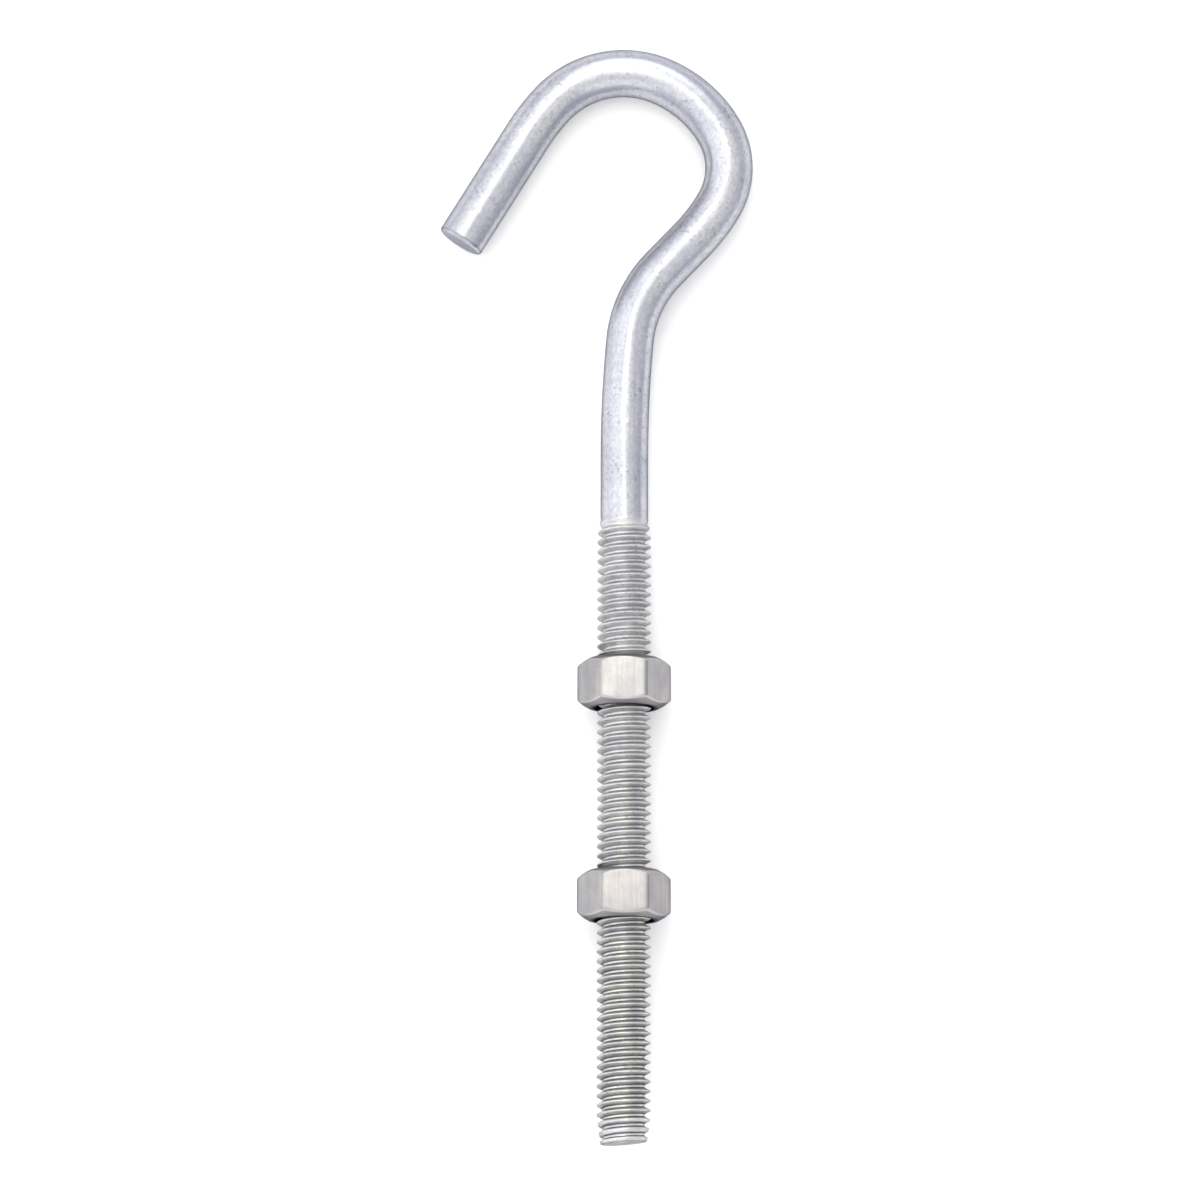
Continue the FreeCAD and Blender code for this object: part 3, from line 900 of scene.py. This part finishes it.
tell_brightness("thread", (THREAD_NEAR, THREAD_FAR, THREAD_CLOUD, THREAD_LINE, THREAD_GROOVE_SHADE,
                           THREAD_SPECK))

# %% [markdown]
# ## The bolt's finish
# Rod and thread are one piece with one material. Two materials would part along a hard line, but on
# the real bolt the bright plate turns dull over about a millimetre, so a mask blends the two colours
# and the two roughnesses there.

# %% Bolt finish
ROD_ROUGHNESS = (0.24, 0.38)
NEAR_ROUGHNESS = (0.43, 0.57)
FAR_ROUGHNESS = (0.34, 0.48)


def make_bolt_zinc():
    """Bright plate on the drawn rod, dull and yellow-grey on the rolled thread, with painted shade in its
    grooves.
    """
    material, tree, shader, place = zinc_base("bolt_zinc_finish")
    clouds = noise_at(tree, place, 150.0)
    lines = placed_group(tree, draw_lines, place).outputs["Line"]
    specks = placed_group(tree, pits, place, Amount=0.85).outputs["Mask"]
    masks = placed_group(tree, thread_masks, place)
    colour = blend_colours(tree, masks.outputs["Threaded"], rod_colour(tree, place, clouds, lines, specks),
                           thread_colour(tree, place, masks, specks))
    tree.links.new(colour, shader.inputs["Base Color"])
    thread_rough = blend_values(tree, masks.outputs["Far"], between(tree, clouds, *NEAR_ROUGHNESS),
                                between(tree, clouds, *FAR_ROUGHNESS))
    rough = blend_values(tree, masks.outputs["Threaded"], between(tree, clouds, *ROD_ROUGHNESS), thread_rough)
    tree.links.new(rough, shader.inputs["Roughness"])
    grain_bump(tree, shader, ((lines, 0.03), (noise_at(tree, place, 2200.0, 2.0), 0.025),
                              (noise_at(tree, place, 420.0, 2.0), 0.05)))
    print(material.name, "has", len(tree.nodes), "nodes")
    return material


bolt.data.materials.append(make_bolt_zinc())

# %% [markdown]
# ## Where a nut's edges are
# On a nut the corners carry a painted dark reflection, the line between flat and chamfer a painted
# highlight, and the chamfer beyond it painted shade. How deep a place lies inside the chamfer's cone
# tells them apart, so these marks sit exactly on the edges that the mesh has.

# %% Chamfer depth
def chamfer_depth(tree, place, reach):
    """How far in metres a place on a nut lies inside its chamfer cones, 0 on a cone.

    The two nuts stand one clamp gap and one height apart, so a ping-pong wave of half that spacing
    gives the distance from the nearer nut's middle. The cone's height falls with the reach.
    """
    spacing = (CLAMP_GAP + NUT_HEIGHT) * MM
    middle = (FRONT_NUT_BACK + NUT_HEIGHT / 2) * MM
    from_front = calculate(tree, "SUBTRACT", coordinate(tree, place, "Y"), middle)
    away = calculate(tree, "PINGPONG", from_front, spacing / 2)
    cone = calculate(tree, "MULTIPLY_ADD", reach, -CHAMFER, (NUT_HEIGHT / 2 + FACE_RADIUS * CHAMFER) * MM)
    return calculate(tree, "SUBTRACT", cone, away)


print(f"front nut's middle at y {FRONT_NUT_BACK + NUT_HEIGHT / 2:.2f} mm,",
      f"the rear nut's {CLAMP_GAP + NUT_HEIGHT:.1f} mm further down")

# %% [markdown]
# ## The nuts' colour
# The nuts have a satin plate: creamy clouds, fine lines along the flats, as a forming die leaves them,
# and few specks. The countersink is painted nearly black and the end face dark grey, as painted shade.
# The corners get a painted dark reflection, the edges a painted highlight and the chamfers painted
# shade, all placed by the two distances.

# %% Nut colour
NUT_CREAM = (0.445, 0.42, 0.40)
NUT_OLIVE = (0.42, 0.425, 0.395)
NUT_CLOUD = (0.355, 0.35, 0.36)
NUT_LINE = (0.31, 0.30, 0.33)
NUT_MOTTLE = (0.345, 0.335, 0.35)
NUT_SPECK = (0.30, 0.29, 0.29)
# Painted light: a dark reflection on the corners, a highlight on the edges, shade on the chamfers
NUT_CORNER_DARK_REFLECTION = (0.20, 0.19, 0.21)
NUT_EDGE_HIGHLIGHT = (0.63, 0.62, 0.61)
NUT_CHAMFER_SHADE = (0.28, 0.275, 0.28)
# Painted shade on the end faces and in the countersinks
NUT_FACE_SHADE = (0.18, 0.18, 0.19)
NUT_SINK_SHADE = (0.03, 0.03, 0.035)


def nut_colour(tree, place, clouds, lines, specks):
    """Creamy satin plate under clouds, lines, mottle and specks, then painted light: a dark reflection on the
    corners, a highlight on the edges, shade on the chamfers, end faces and countersink.
    """
    reach = axis_distance(tree, place)
    depth = chamfer_depth(tree, place, reach)
    tint = window(tree, noise_at(tree, place, 150.0), 0.40, 0.60)
    return lay_over(tree, blend_colours(tree, tint, NUT_CREAM, NUT_OLIVE), (
        (window(tree, clouds, 0.36, 0.64), 1.0, NUT_CLOUD),
        (window(tree, lines, 0.46, 0.66), 0.75, NUT_LINE),
        (window(tree, noise_at(tree, place, 1400.0), 0.48, 0.60), 0.35, NUT_MOTTLE),
        (specks, 1.0, NUT_SPECK),
        # Painted dark reflection on the corners, painted highlight on the edges, painted shade on the
        # chamfers
        (window_mm(tree, reach, (6.74, 6.82)), 0.4, NUT_CORNER_DARK_REFLECTION),
        (window_mm(tree, depth, (0.17, 0.06)), 0.45, NUT_EDGE_HIGHLIGHT),
        (window_mm(tree, depth, (0.04, 0.01)), 1.0, NUT_CHAMFER_SHADE),
        # Painted shade on the end faces and in the countersinks
        (window_mm(tree, reach, (5.24, 5.06)), 1.0, NUT_FACE_SHADE),
        (window_mm(tree, reach, (4.70, 4.45)), 1.0, NUT_SINK_SHADE),
    ))


tell_brightness("nut", (NUT_CREAM, NUT_OLIVE, NUT_CLOUD, NUT_LINE, NUT_MOTTLE, NUT_SPECK, NUT_CORNER_DARK_REFLECTION,
                        NUT_EDGE_HIGHLIGHT, NUT_CHAMFER_SHADE, NUT_FACE_SHADE, NUT_SINK_SHADE))

# %% [markdown]
# ## The nuts' finish
# Both nuts were made and plated alike, so one material serves them. It reads each point's own place,
# so the clouds on the two nuts still differ. Their plate is a little duller than the rod's.

# %% Nut finish
NUT_ROUGHNESS = (0.30, 0.46)


def make_nut_zinc():
    """Satin plate on forged nuts: creamy clouds, fine lines along the flats and darker specks."""
    material, tree, shader, place = zinc_base("nut_zinc_finish")
    clouds = noise_at(tree, place, 230.0)
    lines = placed_group(tree, draw_lines, place, Fineness=1500.0).outputs["Line"]
    specks = placed_group(tree, pits, place, Grain=2300.0, Amount=0.35).outputs["Mask"]
    tree.links.new(nut_colour(tree, place, clouds, lines, specks), shader.inputs["Base Color"])
    tree.links.new(between(tree, clouds, *NUT_ROUGHNESS), shader.inputs["Roughness"])
    grain_bump(tree, shader, ((lines, 0.02), (noise_at(tree, place, 2600.0, 2.0), 0.02),
                              (noise_at(tree, place, 300.0, 2.0), 0.06)))
    print(material.name, "has", len(tree.nodes), "nodes")
    return material


nut_zinc = make_nut_zinc()
front_nut.data.materials.append(nut_zinc)
rear_nut.data.materials.append(nut_zinc)

# %% [markdown]
# ## The floor
# The bolt rests on its side: the front nut's edge and the top of the bowl touch the floor, which is
# tilted by that small difference in height. Turning the bolt instead would move it out of the frame
# that all its parts share. The floor is pale and wide, so that no edge of it shows.

# %% Floor
# Where the bolt touches the floor: distance along y and height, in mm
NUT_REST = (-21.9, -6.0)
BOWL_REST = (66.7, -3.51)
SLOPE = (BOWL_REST[1] - NUT_REST[1]) / (BOWL_REST[0] - NUT_REST[0])
FLOOR_GAP = 0.02
FLOOR_HALF = 3000.0
FLOOR_COLOUR = (0.96, 0.96, 0.96, 1.0)
FLOOR_ROUGHNESS = 0.8


def make_floor():
    """A flat floor: height grows along y with the slope between the two places that touch it."""
    side = np.linspace(-FLOOR_HALF, FLOOR_HALF, 3)
    y, x = np.meshgrid(side, side, indexing="ij")
    z = NUT_REST[1] - FLOOR_GAP + (y - NUT_REST[0]) * SLOPE
    points = np.stack((x, y, z), axis=-1).reshape(-1, 3)
    piece = new_piece("floor", new_mesh("floor", points, grid_faces(3, 3, closed=False), points))
    pale = bpy.data.materials.new("pale_floor")
    pale.use_nodes = True
    shader = pale.node_tree.nodes["Principled BSDF"]
    shader.inputs["Base Color"].default_value = FLOOR_COLOUR
    shader.inputs["Roughness"].default_value = FLOOR_ROUGHNESS
    piece.data.materials.append(pale)
    return piece


floor = make_floor()
print(f"floor tilted by {math.degrees(math.atan(SLOPE)):.2f} degrees")

# %% [markdown]
# ## Soft boxes
# Polished metal shows its surroundings, so the lights are seen as reflections before they are felt as
# light. Small lamps would give hard sparks. Large soft boxes do what they do in a studio: the narrow
# one draws the bright streak along the rod, and the wide ones fill the flanks of rod and nuts.

# %% Soft boxes
# Each box: name, place and size in metres, radiance, colour
BOXES = (
    ("streak_box", (-0.05, 0.36, 1.0), (0.10, 0.95), 6.0, (1.0, 0.98, 0.94)),
    ("left_wall", (-1.5, 0.1, 1.0), (2.2, 3.2), 0.66, (1.0, 0.98, 0.97)),
    ("hook_side", (0.15, 1.6, 1.2), (1.3, 1.0), 2.4, (1.0, 1.0, 0.97)),
    ("nut_side", (0.0, -1.4, 0.9), (1.6, 0.9), 0.95, (1.0, 0.99, 0.96)),
)


def soft_box(name, place, size, radiance, colour):
    """A rectangular area light at a place in metres that faces the bolt, as bright as its radiance says.

    An area light's power is its radiance times pi times its area.
    """
    lamp = bpy.data.lights.new(name, "AREA")
    lamp.shape = "RECTANGLE"
    lamp.size, lamp.size_y = size
    lamp.energy = radiance * math.pi * size[0] * size[1]
    lamp.color = colour
    holder = bpy.data.objects.new(name, lamp)
    bpy.context.scene.collection.objects.link(holder)
    holder.location = place
    holder.rotation_euler = (AIM - Vector(place)).to_track_quat("-Z", "Y").to_euler()
    print(f"light {name}: {lamp.energy:.2f} W")


for box in BOXES:
    soft_box(*box)

# %% [markdown]
# ## The studio all round
# What no lamp covers, the metal mirrors from the walls. A flat grey would make the rod look like
# plastic. In a studio the walls are dimmer and bluer near the floor and brighter overhead, and one
# side is nearer to the window, so the world's light changes gently with its direction.

# %% Sky
HORIZON_GLOW, ZENITH_GLOW = 0.83, 1.40
HORIZON_COLOUR, ZENITH_COLOUR = (0.87, 0.88, 1.0), (1.0, 0.985, 0.95)
BRIGHT_SIDE = (-0.10, 0.05, 0.0)


def make_sky():
    """A studio all round: its glow and colour change with height, and one side is brighter than the other.

    A direction's height blends the horizon's values into the zenith's. Its dot product with the
    bright side's arrow, plus one, scales the glow.
    """
    sky = bpy.data.worlds.new("studio")
    sky.use_nodes = True
    tree = sky.node_tree
    backdrop = tree.nodes["Background"]
    way = add_node(tree, "ShaderNodeTexCoord").outputs["Generated"]
    height = coordinate(tree, way, "Z")
    side = add_node(tree, "ShaderNodeVectorMath", operation="DOT_PRODUCT")
    tree.links.new(way, side.inputs[0])
    side.inputs[1].default_value = BRIGHT_SIDE
    share = calculate(tree, "ADD", side.outputs["Value"], 1.0)
    glow = calculate(tree, "MULTIPLY", between(tree, height, HORIZON_GLOW, ZENITH_GLOW), share)
    tree.links.new(glow, backdrop.inputs["Strength"])
    tree.links.new(blend_colours(tree, height, HORIZON_COLOUR, ZENITH_COLOUR), backdrop.inputs["Color"])
    print("sky", sky.name, "has", len(tree.nodes), "nodes")
    return sky


bpy.context.scene.world = make_sky()
bpy.context.scene.view_settings.view_transform = "Standard"
